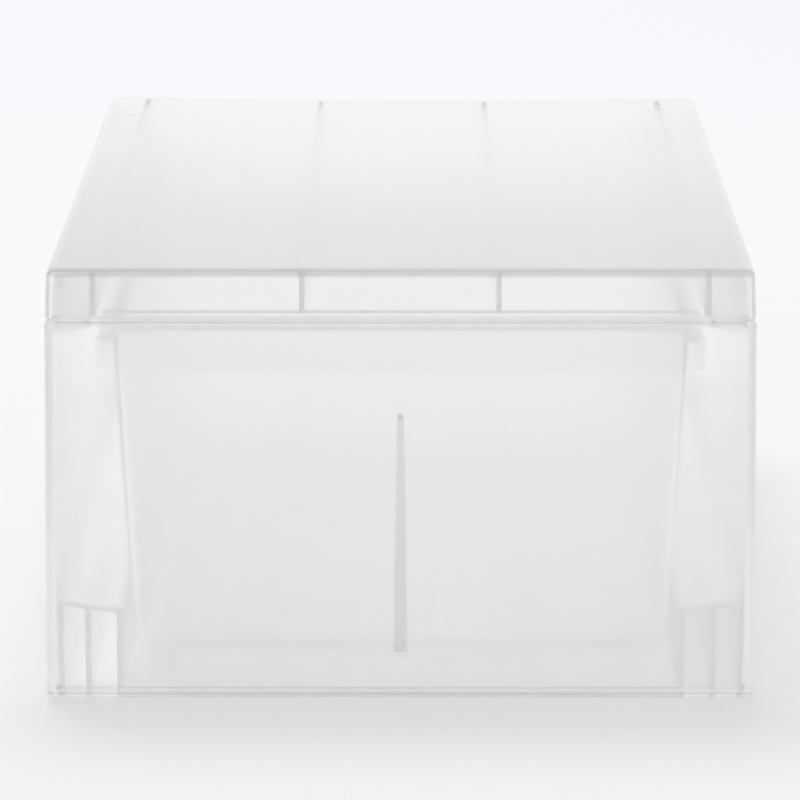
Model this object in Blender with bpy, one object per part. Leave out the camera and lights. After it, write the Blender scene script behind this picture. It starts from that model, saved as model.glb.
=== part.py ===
"""Stackable shoe drawer in clear moulded plastic: a snap-together case with a pull-out drawer.

Metres, +Z up. The origin is at the centre of the footprint, on the surface the box stands on.
The drawer front faces -Y, and the drawer slides out along -Y.
"""

import math

import bmesh
import bpy

MM = 0.001

# Whole box
LENGTH = 355.0 * MM
HEIGHT = 147.5 * MM
FOOT_WIDTH = 237.6 * MM       # across the drawer front and the side panels, at the foot
SHOULDER_WIDTH = 235.0 * MM   # across the same pieces where they meet the top
GAP = 0.4 * MM                # between neighbouring pieces
WALL = 2.0 * MM

FRONT_Y = -LENGTH / 2
BACK_Y = LENGTH / 2

# Case top
TOP_WIDTH = 233.9 * MM        # across the top face, before its edge rounds over
SKIRT_Z = 131.0 * MM          # lower edge of the top's skirt, and of its front rail
TOP_EDGE_RADIUS = 3.0 * MM
TOP_CORNER_RADIUS = 4.0 * MM
STIFFENER_X = 32.5 * MM       # two ribs that stiffen the top
STIFFENER_THICK = 1.7 * MM
GUIDE_X = 101.5 * MM          # two ribs that keep the drawer from tipping
GUIDE_THICK = 2.0 * MM
RIB_FOOT_Z = 131.8 * MM
RIB_BACK_Y = 172.5 * MM
RAIL_LIP_HALF = 98.5 * MM     # inward lip along the rail's lower edge, the drawer's stop
RAIL_LIP_DEPTH = 5.0 * MM
RAIL_LIP_THICK = 1.6 * MM

# Case sides, back and base
SIDE_INNER_X = 115.5 * MM
CASE_FRONT_Y = -169.0 * MM    # front edges of the side panels and the base
SIDE_BACK_Y = 176.6 * MM
INNER_BACK_Y = 172.6 * MM     # the base, the gutters and the tongues end here
SIDE_TOP_Z = 130.7 * MM
TONGUE_TOP_Z = 138.0 * MM     # panels reach up inside the top's skirt to this height
TONGUE_X = (113.1 * MM, 114.9 * MM)
GUTTER_X = 102.8 * MM         # inner edge of the gutter along each side panel's top
GUTTER_WALL_Z = 124.0 * MM
GUTTER_LIP_Z = 126.5 * MM
GUTTER_THICK = 1.8 * MM
SIDE_BACK_CHAMFER = 1.2 * MM
SLOT_RIB_Y = (171.2 * MM, 172.7 * MM)
SLOT_RIB_Z = (34.0 * MM, 123.0 * MM)
SLOT_RIB_DEPTH = 3.0 * MM
BACK_PANEL_Y = (173.1 * MM, 174.8 * MM)
BACK_HALF_WIDTH = 115.1 * MM
BACK_TONGUE_HALF = 112.0 * MM
BASE_HALF_WIDTH = 115.1 * MM
RAIL_INNER_X = 93.4 * MM      # hollow rails along the base, beside the drawer's foot
RAIL_HIGH_Z = 33.0 * MM
RAIL_LOW_Z = 30.0 * MM
RAIL_RIB_X = 105.0 * MM
RUNNER_XS = (-80.0 * MM, -45.0 * MM, 45.0 * MM, 80.0 * MM)
RUNNER_Z = 12.6 * MM
RUNNER_Y = (-110.0 * MM, 171.0 * MM)   # the runners start behind the drawer's front edge

# Drawer tub
TUB_FLOOR_Z = 13.0 * MM
TUB_FLOOR_HALF = 90.0 * MM
TUB_TOP_HALF = 96.0 * MM
TUB_FRONT_Y = (-163.3 * MM, -169.3 * MM)   # outer front face at the floor and under the rim
TUB_BACK_Y = (157.0 * MM, 163.0 * MM)
TUB_FILLET = 6.0 * MM
TUB_CORNER = 8.0 * MM
RIM_OUT = 5.5 * MM            # how far the rim stands out from the wall
RIM_Z = 123.3 * MM
RIM_ROUND = 2.4 * MM
RIM_CORNER = 8.0 * MM
SKIRT_FOOT_Z = 113.0 * MM
SKIRT_THICK = 1.8 * MM
PULL_RAISE = 3.7 * MM         # the front rim rises to hook under the drawer front's top flange
PULL_X = (97.5 * MM, 90.5 * MM)
PULL_Y = (-158.0 * MM, -166.0 * MM)
WEB_FRONT_Y = -174.9 * MM     # centre rib between the tub and the drawer front
WEB_FOOT_HALF = 2.25 * MM
WEB_TIP_HALF = 1.15 * MM
WEB_Z = (14.5 * MM, 97.8 * MM)
STOP_X = (94.6 * MM, 99.4 * MM)
STOP_Y = (130.0 * MM, 133.0 * MM, 141.0 * MM)
STOP_TOP_Z = 139.0 * MM

# Drawer front
FRONT_Z = (1.0 * MM, 130.6 * MM)
FRONT_CORNER = 2.0 * MM
FRONT_EDGE = 0.8 * MM
FLANGE_BACK_Y = -169.5 * MM
FLANGE_SIDE = 1.8 * MM
FLANGE_TOP = 3.0 * MM
FLANGE_FOOT = 2.0 * MM

CORNER_STEPS = 6
FILLET_STEPS = 4


def clear_scene():
    for obj in list(bpy.data.objects):
        bpy.data.objects.remove(obj, do_unlink=True)


def clear_plastic(name, colour, roughness, alpha):
    """Frosted, almost clear moulded plastic."""
    material = bpy.data.materials.new(name)
    material.use_nodes = True
    shader = material.node_tree.nodes["Principled BSDF"]
    shader.inputs["Base Color"].default_value = (*colour, 1.0)
    shader.inputs["Roughness"].default_value = roughness
    shader.inputs["Metallic"].default_value = 0.0
    shader.inputs["Alpha"].default_value = alpha
    material.diffuse_color = (*colour, alpha)
    return material


def add_object(name, bm, material):
    bmesh.ops.recalc_face_normals(bm, faces=bm.faces)
    mesh = bpy.data.meshes.new(name)
    bm.to_mesh(mesh)
    bm.free()
    mesh.materials.append(material)
    obj = bpy.data.objects.new(name, mesh)
    bpy.context.scene.collection.objects.link(obj)
    return obj


def stack_of_rings(rings):
    """One closed body: each ring is bridged to the next, and the first and last are capped."""
    bm = bmesh.new()
    loops = [[bm.verts.new(point) for point in ring] for ring in rings]
    for lower, upper in zip(loops, loops[1:]):
        count = len(lower)
        for i in range(count):
            j = (i + 1) % count
            bm.faces.new((lower[i], lower[j], upper[j], upper[i]))
    bm.faces.new(loops[0])
    bm.faces.new(loops[-1])
    return bm


def box(x_range, y_range, z_range):
    bm = bmesh.new()
    bmesh.ops.create_cube(bm, size=1.0)
    for vert in bm.verts:
        for axis, (low, high) in enumerate((x_range, y_range, z_range)):
            vert.co[axis] = low if vert.co[axis] < 0 else high
    return bm


def extrude_outline(outline, place, start, end):
    """Sweeps a closed 2-D outline from start to end; place(u, v, s) gives the 3-D point."""
    return stack_of_rings([[place(u, v, s) for u, v in outline] for s in (start, end)])


def along_y(x, z, y):
    return (x, y, z)


def along_x(y, z, x):
    return (x, y, z)


def join_solids(target, others):
    """Fuses the other objects into the target, as one moulding."""
    for other in others:
        modifier = target.modifiers.new("join", "BOOLEAN")
        modifier.operation = "UNION"
        modifier.solver = "EXACT"
        modifier.object = other
    depsgraph = bpy.context.evaluated_depsgraph_get()
    fused = bpy.data.meshes.new_from_object(target.evaluated_get(depsgraph))
    target.modifiers.clear()
    target.data = fused
    fused.name = target.name
    for other in others:
        bpy.data.objects.remove(other, do_unlink=True)


def smooth_step(value):
    value = min(max(value, 0.0), 1.0)
    return value * value * (3.0 - 2.0 * value)


def plan_ring(half_x, y_front, y_back, radius, z, raise_by=None):
    """Rounded rectangle seen from above, with closer points towards the ends of its front side."""
    fractions = (-1.0, -0.96, -0.92, -0.88, -0.84, -0.6, -0.3, 0.0, 0.3, 0.6, 0.84, 0.88, 0.92, 0.96)
    straight = half_x - radius
    points = [(straight * f, y_front) for f in fractions]
    corners = (
        (straight, y_front + radius, -90.0),
        (straight, y_back - radius, 0.0),
        (-straight, y_back - radius, 90.0),
        (-straight, y_front + radius, 180.0),
    )
    for centre_x, centre_y, first in corners:
        for i in range(CORNER_STEPS + 1):
            angle = math.radians(first + 90.0 * i / CORNER_STEPS)
            points.append((centre_x + radius * math.cos(angle), centre_y + radius * math.sin(angle)))
    points.pop()  # the last corner ends where the front side starts
    return [(x, y, z + (raise_by(x, y) if raise_by else 0.0)) for x, y in points]


def panel_ring(inset, y):
    """Outline of the drawer front: rounded corners, and a little wider at its foot."""
    side, top, foot = inset
    low, high = FRONT_Z[0] + foot, FRONT_Z[1] - top
    corners = (
        (FOOT_WIDTH / 2 - side, low, 1, 1),
        (SHOULDER_WIDTH / 2 - side, high, 1, -1),
        (SHOULDER_WIDTH / 2 - side, high, -1, -1),
        (FOOT_WIDTH / 2 - side, low, -1, 1),
    )
    points = []
    for i, (half, z, sign_x, sign_z) in enumerate(corners):
        for step in range(FILLET_STEPS + 1):
            angle = math.radians(-90.0 + 90.0 * i + 90.0 * step / FILLET_STEPS)
            x = sign_x * (half - FRONT_CORNER) + FRONT_CORNER * math.cos(angle)
            points.append((x, y, z + sign_z * FRONT_CORNER + FRONT_CORNER * math.sin(angle)))
    return points


def mirrored(outline):
    return [(-u, v) for u, v in reversed(outline)]


# ---------------------------------------------------------------- case

def case_top(material):
    """Shallow inverted tray with a front rail, four ribs and a stop lip."""
    def ring(half_width, z, inset=0.0):
        reach = half_width - SHOULDER_WIDTH / 2 - inset
        half = half_width - inset
        radius = max(TOP_CORNER_RADIUS - inset, 1.0 * MM)
        return plan_ring(half, FRONT_Y - reach, BACK_Y + reach, radius, z)

    half_top = TOP_WIDTH / 2
    rings = []
    for i in range(FILLET_STEPS + 1):
        angle = math.radians(90.0 * i / FILLET_STEPS)
        inset = TOP_EDGE_RADIUS * (1.0 - math.sin(angle))
        rings.append(ring(half_top, HEIGHT - TOP_EDGE_RADIUS * (1.0 - math.cos(angle)), inset))
    rings.append(ring(SHOULDER_WIDTH / 2, SKIRT_Z))
    rings.append(ring(SHOULDER_WIDTH / 2, SKIRT_Z, WALL))
    rings.append(ring(half_top, HEIGHT - WALL, WALL))
    top = add_object("case_top", stack_of_rings(rings), material)

    rail_inner_y = FRONT_Y + WALL / 2
    extras = []
    for x, thick in (
        (-STIFFENER_X, STIFFENER_THICK),
        (STIFFENER_X, STIFFENER_THICK),
        (-GUIDE_X, GUIDE_THICK),
        (GUIDE_X, GUIDE_THICK),
    ):
        rib = box(
            (x - thick / 2, x + thick / 2),
            (rail_inner_y, RIB_BACK_Y),
            (RIB_FOOT_Z, HEIGHT - WALL / 2),
        )
        extras.append(add_object("rib", rib, material))
    lip = box(
        (-RAIL_LIP_HALF, RAIL_LIP_HALF),
        (rail_inner_y, FRONT_Y + WALL + RAIL_LIP_DEPTH),
        (SKIRT_Z, SKIRT_Z + RAIL_LIP_THICK),
    )
    extras.append(add_object("stop_lip", lip, material))
    join_solids(top, extras)


def side_wall_outline():
    return [
        (SIDE_INNER_X, 0.0),
        (FOOT_WIDTH / 2, 0.0),
        (SHOULDER_WIDTH / 2, SIDE_TOP_Z),
        (SIDE_INNER_X, SIDE_TOP_Z),
    ]


def gutter_outline():
    """Gutter that stiffens the side panel's top, and the tongue that the case top snaps over."""
    embed = SIDE_INNER_X + WALL / 2
    slope = (GUTTER_LIP_Z - GUTTER_WALL_Z) / (SIDE_INNER_X - GUTTER_X)
    wall_z = GUTTER_WALL_Z - slope * (embed - SIDE_INNER_X)
    lip_x = GUTTER_X + GUTTER_THICK
    return [
        (embed, wall_z),
        (embed, SIDE_TOP_Z - GAP),
        (TONGUE_X[1], SIDE_TOP_Z - GAP),
        (TONGUE_X[1], TONGUE_TOP_Z),
        (TONGUE_X[0], TONGUE_TOP_Z),
        (TONGUE_X[0], GUTTER_WALL_Z + GUTTER_THICK + slope * (SIDE_INNER_X - TONGUE_X[0])),
        (lip_x, GUTTER_LIP_Z + GUTTER_THICK - slope * GUTTER_THICK),
        (lip_x, SIDE_TOP_Z),
        (GUTTER_X, SIDE_TOP_Z),
        (GUTTER_X, GUTTER_LIP_Z),
    ]


def case_side(name, sign, material):
    wall, gutter = side_wall_outline(), gutter_outline()
    if sign < 0:
        wall, gutter = mirrored(wall), mirrored(gutter)
    bm = extrude_outline(wall, along_y, CASE_FRONT_Y, SIDE_BACK_Y)
    outer_back = [
        edge for edge in bm.edges
        if all(abs(v.co.y - SIDE_BACK_Y) < GAP and abs(v.co.x) > SIDE_INNER_X + GAP for v in edge.verts)
    ]
    bmesh.ops.bevel(bm, geom=outer_back, offset=SIDE_BACK_CHAMFER, segments=2, affect="EDGES")
    panel = add_object(name, bm, material)

    gutter_bm = extrude_outline(gutter, along_y, CASE_FRONT_Y, INNER_BACK_Y)
    rib_x = sorted((sign * (SIDE_INNER_X - SLOT_RIB_DEPTH), sign * (SIDE_INNER_X + WALL / 2)))
    slot_rib = box(rib_x, SLOT_RIB_Y, SLOT_RIB_Z)
    extras = [
        add_object("gutter", gutter_bm, material),
        add_object("slot_rib", slot_rib, material),
    ]
    join_solids(panel, extras)


def case_back(material):
    outline = [
        (BACK_HALF_WIDTH, 0.0),
        (BACK_HALF_WIDTH, SIDE_TOP_Z - GAP),
        (BACK_TONGUE_HALF, SIDE_TOP_Z - GAP),
        (BACK_TONGUE_HALF, TONGUE_TOP_Z),
    ]
    outline += mirrored(outline)
    add_object("case_back", extrude_outline(outline, along_y, *BACK_PANEL_Y), material)


def case_base(material):
    """Floor with two hollow side rails and four runners under the drawer."""
    rail_outer = BASE_HALF_WIDTH
    slope = (RAIL_HIGH_Z - RAIL_LOW_Z) / (rail_outer - RAIL_INNER_X)

    def under_rail(x):
        return RAIL_LOW_Z + slope * (x - RAIL_INNER_X) - WALL

    half_rib = WALL / 2
    right_underside = [
        (rail_outer, 0.0),
        (rail_outer - WALL, 0.0),
        (rail_outer - WALL, under_rail(rail_outer - WALL)),
        (RAIL_RIB_X + half_rib, under_rail(RAIL_RIB_X + half_rib)),
        (RAIL_RIB_X + half_rib, GAP),
        (RAIL_RIB_X - half_rib, GAP),
        (RAIL_RIB_X - half_rib, under_rail(RAIL_RIB_X - half_rib)),
        (RAIL_INNER_X + WALL, under_rail(RAIL_INNER_X + WALL)),
        (RAIL_INNER_X + WALL, 0.0),
    ]
    right_top = [(RAIL_INNER_X, WALL), (RAIL_INNER_X, RAIL_LOW_Z), (rail_outer, RAIL_HIGH_Z)]
    outline = mirrored(right_top) + right_top + right_underside + mirrored(right_underside)
    bm = extrude_outline(outline, along_y, CASE_FRONT_Y, INNER_BACK_Y)
    base = add_object("case_base", bm, material)
    runners = []
    for x in RUNNER_XS:
        runner = box((x - half_rib, x + half_rib), RUNNER_Y, (WALL / 2, RUNNER_Z))
        runners.append(add_object("runner", runner, material))
    join_solids(base, runners)


# ---------------------------------------------------------------- drawer

def pull_raise(x, y):
    """The rim's extra height: full along the middle of the front, none at the corners."""
    across = smooth_step((PULL_X[0] - abs(x)) / (PULL_X[0] - PULL_X[1]))
    deep = smooth_step((PULL_Y[0] - y) / (PULL_Y[0] - PULL_Y[1]))
    return PULL_RAISE * across * deep


def tub_wall(fraction):
    """Outer half-width, front and back of the tub at a share of its height."""
    def mix(pair):
        return pair[0] + (pair[1] - pair[0]) * fraction

    return mix((TUB_FLOOR_HALF, TUB_TOP_HALF)), mix(TUB_FRONT_Y), mix(TUB_BACK_Y)


def tub_fraction(z):
    return (z - TUB_FLOOR_Z) / (RIM_Z - TUB_FLOOR_Z)


def wall_ring(z, inset):
    half, front, back = tub_wall(tub_fraction(z))
    radius = max(TUB_CORNER - inset, 1.0 * MM)
    return plan_ring(half - inset, front + inset, back - inset, radius, z)


def floor_fillet(radius, floor_z, inset, rising):
    """Rings round the corner between floor and wall."""
    rings = []
    for i in range(FILLET_STEPS + 1):
        angle = math.radians(90.0 * i / FILLET_STEPS)
        z = floor_z + radius * (1.0 - math.cos(angle))
        rings.append(wall_ring(z, inset + radius * (1.0 - math.sin(angle))))
    return rings if rising else rings[::-1]


def rim_ring(out, z, raised):
    half, front, back = tub_wall(1.0)
    radius = RIM_CORNER + out - RIM_OUT
    return plan_ring(half + out, front - out, back + out, radius, z, pull_raise if raised else None)


def drawer_tub(material):
    """Drafted open tub with an over-hanging rim, a centre rib and two stop tabs."""
    rings = floor_fillet(TUB_FILLET, TUB_FLOOR_Z, 0.0, rising=True)
    rings.append(rim_ring(0.0, RIM_Z - WALL, raised=True))
    rings.append(rim_ring(RIM_OUT - SKIRT_THICK, RIM_Z - WALL, raised=True))
    rings.append(rim_ring(RIM_OUT - SKIRT_THICK, SKIRT_FOOT_Z, raised=False))
    rings.append(rim_ring(RIM_OUT, SKIRT_FOOT_Z, raised=False))
    for i in range(FILLET_STEPS + 1):
        angle = math.radians(90.0 * i / FILLET_STEPS)
        out = RIM_OUT - RIM_ROUND * (1.0 - math.cos(angle))
        rings.append(rim_ring(out, RIM_Z - RIM_ROUND * (1.0 - math.sin(angle)), raised=True))
    rings.append(rim_ring(-WALL, RIM_Z, raised=True))
    rings += floor_fillet(TUB_FILLET - WALL, TUB_FLOOR_Z + WALL, WALL, rising=False)
    tub = add_object("drawer_tub", stack_of_rings(rings), material)

    extras = [add_object("centre_rib", centre_rib(), material)]
    for sign in (-1, 1):
        extras.append(add_object("stop_tab", stop_tab(sign), material))
    join_solids(tub, extras)


def centre_rib():
    """Upright rib between the tub's front wall and the drawer front, thinner to its round tip."""
    foot_z, shoulder_z = WEB_Z
    levels = [(foot_z, WEB_FOOT_HALF), (shoulder_z, WEB_TIP_HALF)]
    for i in range(1, FILLET_STEPS):
        angle = math.radians(90.0 * i / FILLET_STEPS)
        levels.append((shoulder_z + WEB_TIP_HALF * math.sin(angle), WEB_TIP_HALF * math.cos(angle)))
    rings = []
    for z, half in levels:
        back = tub_wall(tub_fraction(z))[1] + WALL / 2
        if z < TUB_FLOOR_Z + TUB_FILLET:
            back += WALL
        rings.append([(-half, WEB_FRONT_Y, z), (half, WEB_FRONT_Y, z), (half, back, z), (-half, back, z)])
    return stack_of_rings(rings)


def stop_tab(sign):
    """Wedge on the side rim that meets the case's stop lip when the drawer is fully out."""
    foot_z = RIM_Z - WALL / 2
    front, crest, back = STOP_Y
    outline = [(front, foot_z), (back, foot_z), (crest, STOP_TOP_Z), (front, STOP_TOP_Z)]
    return extrude_outline(outline, along_x, *sorted(sign * x for x in STOP_X))


def drawer_front(material):
    """Flat panel with flanges on all four sides."""
    none = (0.0, 0.0, 0.0)
    edge = (FRONT_EDGE, FRONT_EDGE, FRONT_EDGE)
    flange = (FLANGE_SIDE, FLANGE_TOP, FLANGE_FOOT)
    rings = [
        panel_ring(edge, FRONT_Y),
        panel_ring(none, FRONT_Y + FRONT_EDGE),
        panel_ring(none, FLANGE_BACK_Y),
        panel_ring(flange, FLANGE_BACK_Y),
        panel_ring(flange, FRONT_Y + WALL),
    ]
    add_object("drawer_front", stack_of_rings(rings), material)


def main():
    clear_scene()
    case_plastic = clear_plastic("case_plastic", (0.90, 0.91, 0.92), 0.30, 0.35)
    tub_plastic = clear_plastic("tub_plastic", (0.88, 0.89, 0.90), 0.35, 0.40)
    front_plastic = clear_plastic("front_plastic", (0.91, 0.92, 0.93), 0.15, 0.25)
    case_top(case_plastic)
    case_side("case_side_left", -1, case_plastic)
    case_side("case_side_right", 1, case_plastic)
    case_back(case_plastic)
    case_base(case_plastic)
    drawer_tub(tub_plastic)
    drawer_front(front_plastic)


main()
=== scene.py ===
"""Looks of the clear shoe drawer: smooth mouldings, frosted plastic, studio floor, light and camera."""

import math

import bmesh
import bpy
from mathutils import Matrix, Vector


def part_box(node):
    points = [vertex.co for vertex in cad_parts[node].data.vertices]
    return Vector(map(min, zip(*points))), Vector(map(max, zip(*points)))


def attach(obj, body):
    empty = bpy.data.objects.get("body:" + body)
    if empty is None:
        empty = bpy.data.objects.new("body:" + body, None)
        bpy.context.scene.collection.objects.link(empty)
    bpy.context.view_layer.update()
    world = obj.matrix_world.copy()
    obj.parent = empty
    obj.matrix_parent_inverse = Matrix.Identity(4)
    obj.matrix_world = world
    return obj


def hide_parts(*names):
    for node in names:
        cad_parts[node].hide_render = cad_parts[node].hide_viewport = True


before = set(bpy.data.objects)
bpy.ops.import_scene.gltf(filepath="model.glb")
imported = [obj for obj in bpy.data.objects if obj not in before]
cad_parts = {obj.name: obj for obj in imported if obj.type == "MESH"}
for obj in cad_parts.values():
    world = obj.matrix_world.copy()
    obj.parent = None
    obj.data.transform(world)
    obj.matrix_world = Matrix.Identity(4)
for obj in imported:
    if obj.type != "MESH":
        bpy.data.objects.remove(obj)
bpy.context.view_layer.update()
MM = 0.001

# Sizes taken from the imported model
TOP_LOW, TOP_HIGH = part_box("case_top")
TUB_LOW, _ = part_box("drawer_tub")
FRONT_LOW, FRONT_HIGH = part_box("drawer_front")
BOX_TOP = TOP_HIGH.z
FRONT_Y, BACK_Y = TOP_LOW.y, TOP_HIGH.y
SHOULDER_HALF = TOP_HIGH.x
SKIRT_Z = TOP_LOW.z
FOOT_HALF = FRONT_HIGH.x

# Sizes that the mouldings share with the CAD model
WALL = 2.0 * MM
TOP_INSET = 0.55 * MM          # how much narrower the top face is than the skirt's foot
TOP_EDGE_RADIUS = 3.0 * MM
TOP_CORNER_RADIUS = 4.0 * MM
TOP_INNER_RADIUS = 1.2 * MM
STIFFENER_X = 32.5 * MM
STIFFENER_THICK = 1.7 * MM
GUIDE_X = 101.5 * MM
GUIDE_THICK = 2.0 * MM
RIB_FOOT_Z = 131.8 * MM
RIB_BACK_Y = 172.5 * MM
LIP_HALF = 98.5 * MM
LIP_DEPTH = 5.0 * MM
LIP_THICK = 1.6 * MM
TUB_FLOOR_Z = TUB_LOW.z
TUB_FLOOR_HALF = 90.0 * MM
TUB_TOP_HALF = 96.0 * MM
TUB_FRONT_Y = (-163.3 * MM, -169.3 * MM)
TUB_BACK_Y = (157.0 * MM, 163.0 * MM)
TUB_FILLET = 6.0 * MM
TUB_CORNER = 8.0 * MM
RIM_OUT = 5.5 * MM
RIM_Z = 123.3 * MM
RIM_ROUND = 2.4 * MM
RIM_CORNER = 8.0 * MM
RIM_FOOT_Z = 113.0 * MM
PULL_X = (97.5 * MM, 90.5 * MM)
PULL_Y = (-158.0 * MM, -166.0 * MM)
WEB_FRONT_Y = -174.9 * MM
WEB_FOOT_HALF = 2.25 * MM
WEB_TIP_HALF = 1.15 * MM
STOP_X = (94.6 * MM, 99.4 * MM)
STOP_Y = (130.0 * MM, 133.0 * MM, 141.0 * MM)
STOP_TOP_Z = 139.0 * MM
PANEL_CORNER = 2.0 * MM
PANEL_EDGE = 0.8 * MM
FLANGE_FOOT = 2.0 * MM

# Sizes that are a little different in the CAD model, by up to 2.2 mm
RIM_THICK = 1.1 * MM
PULL_RAISE = 4.2 * MM
WEB_Z = (14.5 * MM, 95.6 * MM)
FLANGE_SIDE = 2.8 * MM
FLANGE_TOP = 2.0 * MM

# Detail that only the visual model has
TOP_SAG = 1.3 * MM             # the thin top sinks a little towards its back edge
SAG_PEAK_X = 15.0 * MM
SAG_CELLS = 12                 # the top is cut into this many cells each way, so that it can bend
EDGE_ROUND = 0.35 * MM
BEVEL_ANGLE = math.radians(50.0)
NORMALS_WEIGHT = 90            # large faces keep their own direction
SMALLEST_RADIUS = 1.0 * MM
RIB_CLEAR = 0.05 * MM          # the centre rib stands this far in front of the tub's front wall

# Points along round shapes
ARC_STEPS = 10                 # in plan corners and the drawer front's corners
TOP_EDGE_STEPS = 8
TOP_INNER_STEPS = 4
FLOOR_FILLET_STEPS = 8
RIM_STEPS = 6
RIM_INNER_STEPS = 5
WEB_TIP_STEPS = 6
PANEL_EDGE_STEPS = 5

# Places of the points along a front side, from -1 to 1: closer together where the rim's raised middle ends
FRONT_MIDDLE = (-0.6, -0.3, 0.0, 0.3, 0.6)
FRONT_END = [0.84 + 0.01 * i for i in range(16)]

# Camera and floor
CAMERA_LENS = 213.85
CAMERA_PLACE = (0.0035, -1.7102, 0.4548)
CAMERA_PITCH = math.radians(12.904)
CAMERA_YAW = math.radians(0.136)
FLOOR_HALF_WIDTH = 6.0
FLOOR_Y = (-4.0, 8.0)
FLOOR_Z = -0.2 * MM
FLOOR_GREY = 0.25              # the rest of the floor's light shines through it, as on a light table
FLOOR_ROUGHNESS = 0.9
FLOOR_SHADE_Y = (-0.3, 1.5)    # where the floor's shades start and end
FLOOR_SHADES = (
    (0.0, (0.580, 0.560, 0.567)),
    (0.14, (0.560, 0.560, 0.565)),
    (0.32, (0.578, 0.575, 0.593)),
    (0.58, (0.600, 0.594, 0.618)),
    (1.0, (0.660, 0.654, 0.697)),
)

# Strip of floor under the case's left side that is brighter by this share, a painted pool of light for the
# key's light that comes down through the clear plastic: middle, half-width and fade
GLOW = 0.25
GLOW_X = (-0.103, 0.005, 0.012)
GLOW_Y = (0.0, 0.14, 0.035)

# Plastic
PLASTIC_IOR = 1.45
FLOW_TINT = (0.35, 0.65)       # from the darkest to the lightest part of the flow pattern
FLOW_MATT = (0.3, 0.7)         # from its smoothest to its roughest part
ROUGHNESS_SPREAD = 0.08
TOP_PAINTED_SHADE = (0.76, 0.86, 0.97)   # tint of painted shade on the top face at the front, in the middle and at the back, darkest at the front

# Room and key light
ROOM_LIGHT = (0.38, 1.0)       # strength on the camera's side and behind the box
ROOM_AXIS = (-0.35, 0.94, 0.0)   # from the dark side to the light side
ROOM_SPAN = (-0.6, 0.4)
KEY_PLACE = (-0.18, 0.5, 1.9)
KEY_SIZE = 0.9
KEY_POWER = 28.0
LONGEST_PATH = 64
LONGEST_DIFFUSE_PATH = 24


# ---------------------------------------------------------------- mesh helpers

def add_piece(name, bm, material=None):
    """Makes an object of a mesh under construction."""
    bmesh.ops.recalc_face_normals(bm, faces=bm.faces)
    mesh = bpy.data.meshes.new(name)
    bm.to_mesh(mesh)
    bm.free()
    if material:
        mesh.materials.append(material)
    piece = bpy.data.objects.new(name, mesh)
    bpy.context.scene.collection.objects.link(piece)
    return piece


def stack_of_rings(rings):
    """One closed body: each ring is bridged to the next, and the first and last are capped."""
    bm = bmesh.new()
    loops = [[bm.verts.new(point) for point in ring] for ring in rings]
    for lower, upper in zip(loops, loops[1:]):
        count = len(lower)
        for i in range(count):
            j = (i + 1) % count
            bm.faces.new((lower[i], lower[j], upper[j], upper[i]))
    bm.faces.new(loops[0])
    bm.faces.new(loops[-1])
    return bm


def box(x_range, y_range, z_range):
    """Block between the given limits."""
    bm = bmesh.new()
    bmesh.ops.create_cube(bm, size=1.0)
    for vert in bm.verts:
        for axis, (low, high) in enumerate((x_range, y_range, z_range)):
            vert.co[axis] = low if vert.co[axis] < 0 else high
    return bm


def quarter(steps):
    """Sine and cosine of the angles of a quarter turn."""
    angles = [math.radians(90.0 * i / steps) for i in range(steps + 1)]
    return [(math.sin(angle), math.cos(angle)) for angle in angles]


def join_pieces(target, others):
    """Fuses the other objects into the target, as one moulding."""
    for other in others:
        modifier = target.modifiers.new("join", "BOOLEAN")
        modifier.operation = "UNION"
        modifier.solver = "EXACT"
        modifier.object = other
    depsgraph = bpy.context.evaluated_depsgraph_get()
    fused = bpy.data.meshes.new_from_object(target.evaluated_get(depsgraph))
    target.modifiers.clear()
    target.data = fused
    fused.name = target.name
    for other in others:
        bpy.data.objects.remove(other, do_unlink=True)


def soften(piece, width=EDGE_ROUND, segments=2):
    """Rounds the sharp edges a little, as on any moulding, and shades the rest smooth."""
    piece.data.shade_smooth()
    bevel = piece.modifiers.new("edge_round", "BEVEL")
    bevel.width = width
    bevel.segments = segments
    bevel.limit_method = "ANGLE"
    bevel.angle_limit = BEVEL_ANGLE
    normals = piece.modifiers.new("even_normals", "WEIGHTED_NORMAL")
    normals.weight = NORMALS_WEIGHT
    normals.keep_sharp = False


def smooth_step(value):
    """Rises smoothly from 0 to 1 while the value does."""
    value = min(max(value, 0.0), 1.0)
    return value * value * (3.0 - 2.0 * value)


def plan_ring(half_x, y_front, y_back, radius, z, raise_by=None):
    """Rounded rectangle seen from above, with closer points towards the ends of its front side."""
    fractions = [-1.0] + [-f for f in reversed(FRONT_END)] + [*FRONT_MIDDLE] + FRONT_END
    straight = half_x - radius
    points = [(straight * f, y_front) for f in fractions]
    corners = (
        (straight, y_front + radius, -90.0),
        (straight, y_back - radius, 0.0),
        (-straight, y_back - radius, 90.0),
        (-straight, y_front + radius, 180.0),
    )
    for centre_x, centre_y, first in corners:
        for i in range(ARC_STEPS + 1):
            angle = math.radians(first + 90.0 * i / ARC_STEPS)
            points.append((centre_x + radius * math.cos(angle), centre_y + radius * math.sin(angle)))
    points.pop()  # the last corner ends where the front side starts
    return [(x, y, z + (raise_by(x, y) if raise_by else 0.0)) for x, y in points]


# ---------------------------------------------------------------- case top

def sag_at(point):
    """How far the top sinks at a point: most at the back, none at the front or at the skirt's foot."""
    across = max(0.0, 1.0 - ((point.x - SAG_PEAK_X) / SHOULDER_HALF) ** 2)
    along = smooth_step((point.y - FRONT_Y) / (BACK_Y - FRONT_Y))
    height = (point.z - SKIRT_Z) / (BOX_TOP - SKIRT_Z)
    return TOP_SAG * across * along * height


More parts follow.
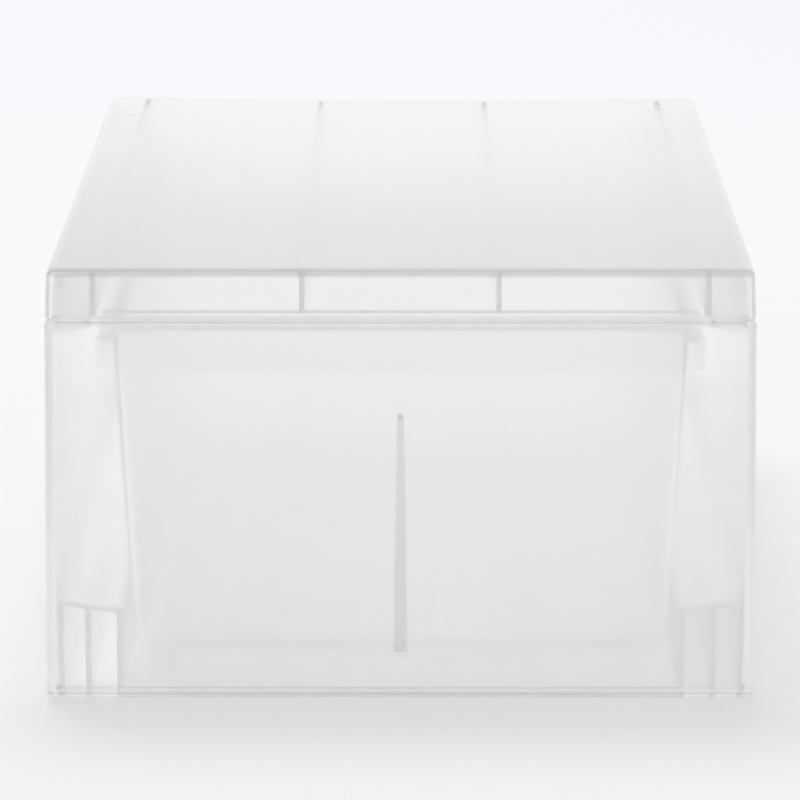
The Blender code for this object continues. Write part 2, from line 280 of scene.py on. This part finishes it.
def top_tray():
    """Upside-down tray with a rounded edge, a little narrower at its top."""

    def ring(z, inset, radius):
        out = -TOP_INSET * (z - SKIRT_Z) / (BOX_TOP - SKIRT_Z) - inset
        return plan_ring(SHOULDER_HALF + out, FRONT_Y - out, BACK_Y + out, max(radius, SMALLEST_RADIUS), z)

    rings = []
    for sine, cosine in quarter(TOP_EDGE_STEPS):
        inset = TOP_EDGE_RADIUS * (1.0 - sine)
        rings.append(ring(BOX_TOP - TOP_EDGE_RADIUS * (1.0 - cosine), inset, TOP_CORNER_RADIUS - inset))
    rings.append(ring(SKIRT_Z, 0.0, TOP_CORNER_RADIUS))
    rings.append(ring(SKIRT_Z, WALL, TOP_CORNER_RADIUS - WALL))
    ceiling = BOX_TOP - WALL
    for sine, cosine in reversed(quarter(TOP_INNER_STEPS)):
        inset = WALL + TOP_INNER_RADIUS * (1.0 - sine)
        z = ceiling - TOP_INNER_RADIUS * (1.0 - cosine)
        rings.append(ring(z, inset, TOP_CORNER_RADIUS - inset))
    return stack_of_rings(rings)


def case_top(material):
    """Inverted tray with its front rail, four ribs and the stop lip, sinking a little at the back."""
    top = add_piece("top_moulding", top_tray(), material)
    rail_inner_y = FRONT_Y + WALL / 2
    extras = []
    for x, thick in (
        (-STIFFENER_X, STIFFENER_THICK),
        (STIFFENER_X, STIFFENER_THICK),
        (-GUIDE_X, GUIDE_THICK),
        (GUIDE_X, GUIDE_THICK),
    ):
        rib = box(
            (x - thick / 2, x + thick / 2),
            (rail_inner_y, RIB_BACK_Y),
            (RIB_FOOT_Z, BOX_TOP - WALL / 2),
        )
        extras.append(add_piece("rib", rib))
    lip = box(
        (-LIP_HALF, LIP_HALF),
        (rail_inner_y, FRONT_Y + WALL + LIP_DEPTH),
        (SKIRT_Z, SKIRT_Z + LIP_THICK),
    )
    extras.append(add_piece("stop_lip", lip))
    join_pieces(top, extras)

    bm = bmesh.new()
    bm.from_mesh(top.data)
    for i in range(1, SAG_CELLS):
        share = i / SAG_CELLS
        for place, normal in (
            ((-SHOULDER_HALF + 2 * SHOULDER_HALF * share, 0.0, 0.0), (1, 0, 0)),
            ((0.0, FRONT_Y + (BACK_Y - FRONT_Y) * share, 0.0), (0, 1, 0)),
        ):
            geometry = bm.verts[:] + bm.edges[:] + bm.faces[:]
            bmesh.ops.bisect_plane(bm, geom=geometry, dist=1e-6, plane_co=place, plane_no=normal)
    for vert in bm.verts:
        vert.co.z -= sag_at(vert.co)
    bm.to_mesh(top.data)
    bm.free()
    soften(top)
    return top


# ---------------------------------------------------------------- drawer tub

def pull_raise(x, y):
    """The rim's extra height: full along the middle of the front, none at the corners."""
    across = smooth_step((PULL_X[0] - abs(x)) / (PULL_X[0] - PULL_X[1]))
    deep = smooth_step((PULL_Y[0] - y) / (PULL_Y[0] - PULL_Y[1]))
    return PULL_RAISE * across * deep


def tub_wall(fraction):
    """Outer half-width, front and back of the tub at a share of its height."""

    def mix(pair):
        return pair[0] + (pair[1] - pair[0]) * fraction

    return mix((TUB_FLOOR_HALF, TUB_TOP_HALF)), mix(TUB_FRONT_Y), mix(TUB_BACK_Y)


def tub_fraction(z):
    """Share of the tub's height at a level."""
    return (z - TUB_FLOOR_Z) / (RIM_Z - TUB_FLOOR_Z)


def wall_ring(z, inset):
    """Outline of the drafted wall at a level."""
    half, front, back = tub_wall(tub_fraction(z))
    radius = max(TUB_CORNER - inset, SMALLEST_RADIUS)
    return plan_ring(half - inset, front + inset, back - inset, radius, z)


def floor_fillet(radius, floor_z, inset):
    """Rings round the corner between floor and wall, from the floor up."""
    rings = []
    for sine, cosine in quarter(FLOOR_FILLET_STEPS):
        rings.append(wall_ring(floor_z + radius * (1.0 - cosine), inset + radius * (1.0 - sine)))
    return rings


def rim_ring(out, z, raised):
    """Outline round the tub's mouth, further out than its wall."""
    half, front, back = tub_wall(1.0)
    radius = RIM_CORNER + out - RIM_OUT
    return plan_ring(half + out, front - out, back + out, radius, z, pull_raise if raised else None)


def rolled_edge(out, z, radius, steps):
    """Rings round the rim's edge, from its side up to its top."""
    rings = []
    for sine, cosine in quarter(steps):
        rings.append(rim_ring(out - radius * (1.0 - cosine), z - radius * (1.0 - sine), raised=True))
    return rings


def centre_rib(material):
    """Upright rib between the tub's front wall and the drawer front, thinner to its round tip."""
    foot_z, shoulder_z = WEB_Z
    levels = [(foot_z, WEB_FOOT_HALF), (shoulder_z, WEB_TIP_HALF)]
    for sine, cosine in quarter(WEB_TIP_STEPS)[1:-1]:
        levels.append((shoulder_z + WEB_TIP_HALF * sine, WEB_TIP_HALF * cosine))
    rings = []
    for z, half in levels:
        back = tub_wall(tub_fraction(z))[1] - RIB_CLEAR
        rings.append([(-half, WEB_FRONT_Y, z), (half, WEB_FRONT_Y, z), (half, back, z), (-half, back, z)])
    rib = add_piece("rib_moulding", stack_of_rings(rings), material)
    soften(rib, width=EDGE_ROUND / 2)
    return rib


def stop_tab(sign):
    """Wedge on the side rim that meets the case's stop lip when the drawer is fully out."""
    foot_z = RIM_Z - WALL / 2
    front, crest, back = STOP_Y
    outline = [(front, foot_z), (back, foot_z), (crest, STOP_TOP_Z), (front, STOP_TOP_Z)]
    return stack_of_rings([[(x, y, z) for y, z in outline] for x in sorted(sign * x for x in STOP_X)])


def drawer_tub(material):
    """Drafted open tub with a rolled rim, its raised middle and two stop tabs."""
    rings = floor_fillet(TUB_FILLET, TUB_FLOOR_Z, 0.0)
    rings.append(rim_ring(0.0, RIM_Z - RIM_THICK, raised=True))
    inner_round = RIM_ROUND - RIM_THICK
    rings += reversed(rolled_edge(RIM_OUT - RIM_THICK, RIM_Z - RIM_THICK, inner_round, RIM_INNER_STEPS))
    rings.append(rim_ring(RIM_OUT - RIM_THICK, RIM_FOOT_Z, raised=False))
    rings.append(rim_ring(RIM_OUT, RIM_FOOT_Z, raised=False))
    rings += rolled_edge(RIM_OUT, RIM_Z, RIM_ROUND, RIM_STEPS)
    rings.append(rim_ring(-WALL, RIM_Z, raised=True))
    rings += reversed(floor_fillet(TUB_FILLET - WALL, TUB_FLOOR_Z + WALL, WALL))
    tub = add_piece("tub_moulding", stack_of_rings(rings), material)
    join_pieces(tub, [add_piece("stop_tab", stop_tab(sign)) for sign in (-1, 1)])
    soften(tub, segments=3)
    return tub


# ---------------------------------------------------------------- drawer front

def panel_ring(inset, y):
    """Outline of the drawer front: rounded corners, and a little wider at its foot."""
    side, top, foot = inset
    low, high = FRONT_LOW.z + foot, FRONT_HIGH.z - top
    corners = (
        (FOOT_HALF - side, low, 1, 1),
        (SHOULDER_HALF - side, high, 1, -1),
        (SHOULDER_HALF - side, high, -1, -1),
        (FOOT_HALF - side, low, -1, 1),
    )
    points = []
    for i, (half, z, sign_x, sign_z) in enumerate(corners):
        for step in range(ARC_STEPS + 1):
            angle = math.radians(-90.0 + 90.0 * i + 90.0 * step / ARC_STEPS)
            x = sign_x * (half - PANEL_CORNER) + PANEL_CORNER * math.cos(angle)
            points.append((x, y, z + sign_z * PANEL_CORNER + PANEL_CORNER * math.sin(angle)))
    return points


def drawer_front(material):
    """Flat panel with a rounded outer edge and flanges on all four sides."""
    none = (0.0, 0.0, 0.0)
    flange = (FLANGE_SIDE, FLANGE_TOP, FLANGE_FOOT)
    rings = []
    for sine, cosine in quarter(PANEL_EDGE_STEPS):
        inset = PANEL_EDGE * (1.0 - sine)
        rings.append(panel_ring((inset, inset, inset), FRONT_LOW.y + PANEL_EDGE * (1.0 - cosine)))
    rings.append(panel_ring(none, FRONT_HIGH.y))
    rings.append(panel_ring(flange, FRONT_HIGH.y))
    rings.append(panel_ring(flange, FRONT_LOW.y + WALL))
    front = add_piece("front_moulding", stack_of_rings(rings), material)
    soften(front)
    return front


# ---------------------------------------------------------------- materials

def map_range(nodes, links, value, start, end, low=0.0, high=1.0, smooth=False):
    """Takes a value from between start and end to between low and high."""
    node = nodes.new("ShaderNodeMapRange")
    node.interpolation_type = "SMOOTHSTEP" if smooth else "LINEAR"
    for socket, number in (("From Min", start), ("From Max", end), ("To Min", low), ("To Max", high)):
        node.inputs[socket].default_value = number
    links.new(value, node.inputs["Value"])
    return node.outputs["Result"]


def math_node(nodes, links, operation, *values):
    """Each value is a number or another node's output."""
    node = nodes.new("ShaderNodeMath")
    node.operation = operation
    for socket, value in zip(node.inputs, values):
        if isinstance(value, bpy.types.NodeSocket):
            links.new(value, socket)
        else:
            socket.default_value = value
    return node.outputs["Value"]


def object_axes(nodes, links):
    """Place on the object, as a node with outputs X, Y and Z."""
    place = nodes.new("ShaderNodeTexCoord")
    axes = nodes.new("ShaderNodeSeparateXYZ")
    links.new(place.outputs["Object"], axes.inputs["Vector"])
    return axes


def frosted_plastic(name, colour, absorption, roughness, streaks, mottle):
    """Clear plastic with a matt surface and faint flow streaks; thick edges are darker."""
    material = bpy.data.materials.new(name)
    material.use_nodes = True
    nodes, links = material.node_tree.nodes, material.node_tree.links
    shader = nodes["Principled BSDF"]
    shader.inputs["Transmission Weight"].default_value = 1.0
    shader.inputs["IOR"].default_value = PLASTIC_IOR

    place = nodes.new("ShaderNodeTexCoord")
    stretch = nodes.new("ShaderNodeMapping")
    stretch.inputs["Scale"].default_value = streaks
    flow = nodes.new("ShaderNodeTexNoise")
    flow.inputs["Scale"].default_value = 1.0
    flow.inputs["Detail"].default_value = 0.0
    links.new(place.outputs["Object"], stretch.inputs["Vector"])
    links.new(stretch.outputs["Vector"], flow.inputs["Vector"])

    cloud = nodes.new("ShaderNodeValToRGB")
    cloud.color_ramp.elements[0].position = FLOW_TINT[0]
    cloud.color_ramp.elements[0].color = (*[channel * (1.0 - mottle) for channel in colour], 1.0)
    cloud.color_ramp.elements[1].position = FLOW_TINT[1]
    cloud.color_ramp.elements[1].color = (*colour, 1.0)
    links.new(flow.outputs["Fac"], cloud.inputs["Fac"])
    links.new(cloud.outputs["Color"], shader.inputs["Base Color"])

    smooth = roughness * (1.0 - ROUGHNESS_SPREAD)
    rough = roughness * (1.0 + ROUGHNESS_SPREAD)
    matt = map_range(nodes, links, flow.outputs["Fac"], *FLOW_MATT, low=smooth, high=rough)
    links.new(matt, shader.inputs["Roughness"])

    inside = nodes.new("ShaderNodeVolumeAbsorption")
    inside.inputs["Color"].default_value = (0.0, 0.0, 0.0, 1.0)
    inside.inputs["Density"].default_value = absorption
    links.new(inside.outputs["Volume"], nodes["Material Output"].inputs["Volume"])
    return material


def paint_top_face_shade(material):
    """Painted shade: the flat top's colour is darkened, most of all towards the front; the skirt keeps its
    own colour.
    """
    nodes, links = material.node_tree.nodes, material.node_tree.links
    shader = nodes["Principled BSDF"]
    flow_colour = shader.inputs["Base Color"].links[0].from_socket
    axes = object_axes(nodes, links)
    depth = map_range(nodes, links, axes.outputs["Y"], FRONT_Y, BACK_Y)
    ramp = nodes.new("ShaderNodeValToRGB")
    ramp.color_ramp.interpolation = "B_SPLINE"
    ramp.color_ramp.elements[0].color = (*[TOP_PAINTED_SHADE[0]] * 3, 1.0)
    ramp.color_ramp.elements[1].color = (*[TOP_PAINTED_SHADE[2]] * 3, 1.0)
    ramp.color_ramp.elements.new(0.5).color = (*[TOP_PAINTED_SHADE[1]] * 3, 1.0)
    links.new(depth, ramp.inputs["Fac"])
    height = map_range(nodes, links, axes.outputs["Z"], BOX_TOP - 1.5 * WALL, BOX_TOP - WALL)
    tint = nodes.new("ShaderNodeMix")
    tint.data_type = "RGBA"
    tint.blend_type = "MULTIPLY"
    links.new(height, tint.inputs["Factor"])
    links.new(flow_colour, tint.inputs["A"])
    links.new(ramp.outputs["Color"], tint.inputs["B"])
    links.new(tint.outputs["Result"], shader.inputs["Base Color"])


# ---------------------------------------------------------------- studio

def soft_band(nodes, links, coordinate, middle, half_width, fade):
    """1 near the middle of a coordinate's range, fading to 0 on both sides."""
    offset = math_node(nodes, links, "SUBTRACT", coordinate, middle)
    distance = math_node(nodes, links, "ABSOLUTE", offset)
    return map_range(nodes, links, distance, half_width, half_width + fade, low=1.0, high=0.0, smooth=True)


def studio_floor():
    """Pale seamless floor, a little cooler and lighter towards the back."""
    near_y, far_y = FLOOR_Y
    bm = bmesh.new()
    corners = (
        (-FLOOR_HALF_WIDTH, near_y),
        (FLOOR_HALF_WIDTH, near_y),
        (FLOOR_HALF_WIDTH, far_y),
        (-FLOOR_HALF_WIDTH, far_y),
    )
    bm.faces.new([bm.verts.new((x, y, FLOOR_Z)) for x, y in corners])
    material = bpy.data.materials.new("studio_floor")
    material.use_nodes = True
    nodes, links = material.node_tree.nodes, material.node_tree.links
    shader = nodes["Principled BSDF"]
    shader.inputs["Base Color"].default_value = (FLOOR_GREY, FLOOR_GREY, FLOOR_GREY, 1.0)
    shader.inputs["Roughness"].default_value = FLOOR_ROUGHNESS
    shader.inputs["Specular IOR Level"].default_value = 0.0
    axes = object_axes(nodes, links)
    depth = map_range(nodes, links, axes.outputs["Y"], *FLOOR_SHADE_Y)
    ramp = nodes.new("ShaderNodeValToRGB")
    ramp.color_ramp.elements[1].position = FLOOR_SHADES[-1][0]
    for position, _ in FLOOR_SHADES[1:-1]:
        ramp.color_ramp.elements.new(position)
    for element, (_, colour) in zip(ramp.color_ramp.elements, FLOOR_SHADES):
        element.color = (*colour, 1.0)
    links.new(depth, ramp.inputs["Fac"])
    links.new(ramp.outputs["Color"], shader.inputs["Emission Color"])

    # painted pool of light on the floor under the case's left side
    beside = soft_band(nodes, links, axes.outputs["X"], *GLOW_X)
    along = soft_band(nodes, links, axes.outputs["Y"], *GLOW_Y)
    both = math_node(nodes, links, "MULTIPLY", beside, along)
    glow = math_node(nodes, links, "MULTIPLY_ADD", both, GLOW, 1.0)
    links.new(glow, shader.inputs["Emission Strength"])
    floor = add_piece("studio_floor", bm, material)


def studio_world():
    """White room that is darker on the camera's side, so that the clear edges show."""
    world = bpy.data.worlds.new("studio")
    world.use_nodes = True
    nodes, links = world.node_tree.nodes, world.node_tree.links
    place = nodes.new("ShaderNodeTexCoord")
    across = nodes.new("ShaderNodeVectorMath")
    across.operation = "DOT_PRODUCT"
    across.inputs[1].default_value = ROOM_AXIS
    links.new(place.outputs["Generated"], across.inputs[0])
    dark, light = ROOM_LIGHT
    depth = map_range(nodes, links, across.outputs["Value"], *ROOM_SPAN, low=dark, high=light, smooth=True)
    background = nodes["Background"]
    background.inputs["Color"].default_value = (1.0, 1.0, 1.0, 1.0)
    links.new(depth, background.inputs["Strength"])
    bpy.context.scene.world = world
    world.cycles.sampling_method = "NONE"


def studio_key():
    """Large soft light from above, behind and the left; the plastic stops it, so that there is a shadow."""
    data = bpy.data.lights.new("key", "AREA")
    data.shape = "DISK"
    data.size = KEY_SIZE
    data.energy = KEY_POWER
    key = bpy.data.objects.new("key", data)
    key.location = KEY_PLACE
    key.rotation_euler = Vector(KEY_PLACE).to_track_quat("Z", "Y").to_euler()
    key.visible_transmission = False
    key.visible_glossy = False
    key.visible_camera = False
    bpy.context.scene.collection.objects.link(key)


def studio_camera():
    """Long lens, from the front and a little above."""
    data = bpy.data.cameras.new("camera")
    data.lens = CAMERA_LENS
    camera = bpy.data.objects.new("camera", data)
    camera.location = CAMERA_PLACE
    camera.rotation_euler = (math.pi / 2 - CAMERA_PITCH, 0.0, CAMERA_YAW)
    bpy.context.scene.collection.objects.link(camera)
    bpy.context.scene.camera = camera


def light_paths():
    """Light crosses many clear walls here, so its paths are long and glass isn't blurred further."""
    scene = bpy.context.scene
    scene.view_settings.view_transform = "Standard"
    cycles = scene.cycles
    cycles.max_bounces = LONGEST_PATH
    cycles.transmission_bounces = LONGEST_PATH
    cycles.glossy_bounces = LONGEST_PATH
    cycles.diffuse_bounces = LONGEST_DIFFUSE_PATH
    cycles.blur_glossy = 0.0
    cycles.denoising_input_passes = "RGB"


# ---------------------------------------------------------------- put together

# Colour, absorption per metre, roughness, flow cells per metre along x, y and z, contrast of the flow pattern
TOP_PLASTIC = frosted_plastic("frosted_top", (0.99, 0.99, 0.99), 0.35, 0.18, (5.0, 24.0, 5.0), 0.03)
# painted shade: the top face darker towards the front
paint_top_face_shade(TOP_PLASTIC)
SIDE_PLASTIC = frosted_plastic("frosted_side", (1.0, 1.0, 1.0), 0.25, 0.13, (12.0, 12.0, 12.0), 0.004)
BASE_PLASTIC = frosted_plastic("frosted_base", (1.0, 1.0, 1.0), 0.25, 0.15, (12.0, 12.0, 12.0), 0.004)
TUB_PLASTIC = frosted_plastic("frosted_tub", (0.98, 0.98, 0.98), 0.3, 0.22, (12.0, 12.0, 9.0), 0.008)
# The rib's plastic is darker in colour and denser than the others: painted shade for the dark line that the
# rib shows.
RIB_PLASTIC = frosted_plastic("frosted_rib", (0.88, 0.88, 0.88), 2.0, 0.15, (12.0, 12.0, 9.0), 0.01)
FRONT_PLASTIC = frosted_plastic("clear_front", (1.0, 1.0, 1.0), 1.2, 0.12, (8.0, 8.0, 8.0), 0.003)

studio_camera()
studio_world()
studio_key()
studio_floor()
light_paths()

for piece, node, body, slot in (
    (case_top(TOP_PLASTIC), "case_top", "case", "case_plastic"),
    (drawer_tub(TUB_PLASTIC), "drawer_tub", "drawer", "tub_plastic"),
    (drawer_front(FRONT_PLASTIC), "drawer_front", "drawer", "front_plastic"),
):
    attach(piece, body)
    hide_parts(node)

rib = centre_rib(RIB_PLASTIC)
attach(rib, "drawer")

for name, material in (
    ("case_side_left", SIDE_PLASTIC),
    ("case_side_right", SIDE_PLASTIC),
    ("case_back", SIDE_PLASTIC),
    ("case_base", BASE_PLASTIC),
):
    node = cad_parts[name]
    node.data.materials.clear()
    node.data.materials.append(material)
    soften(node)
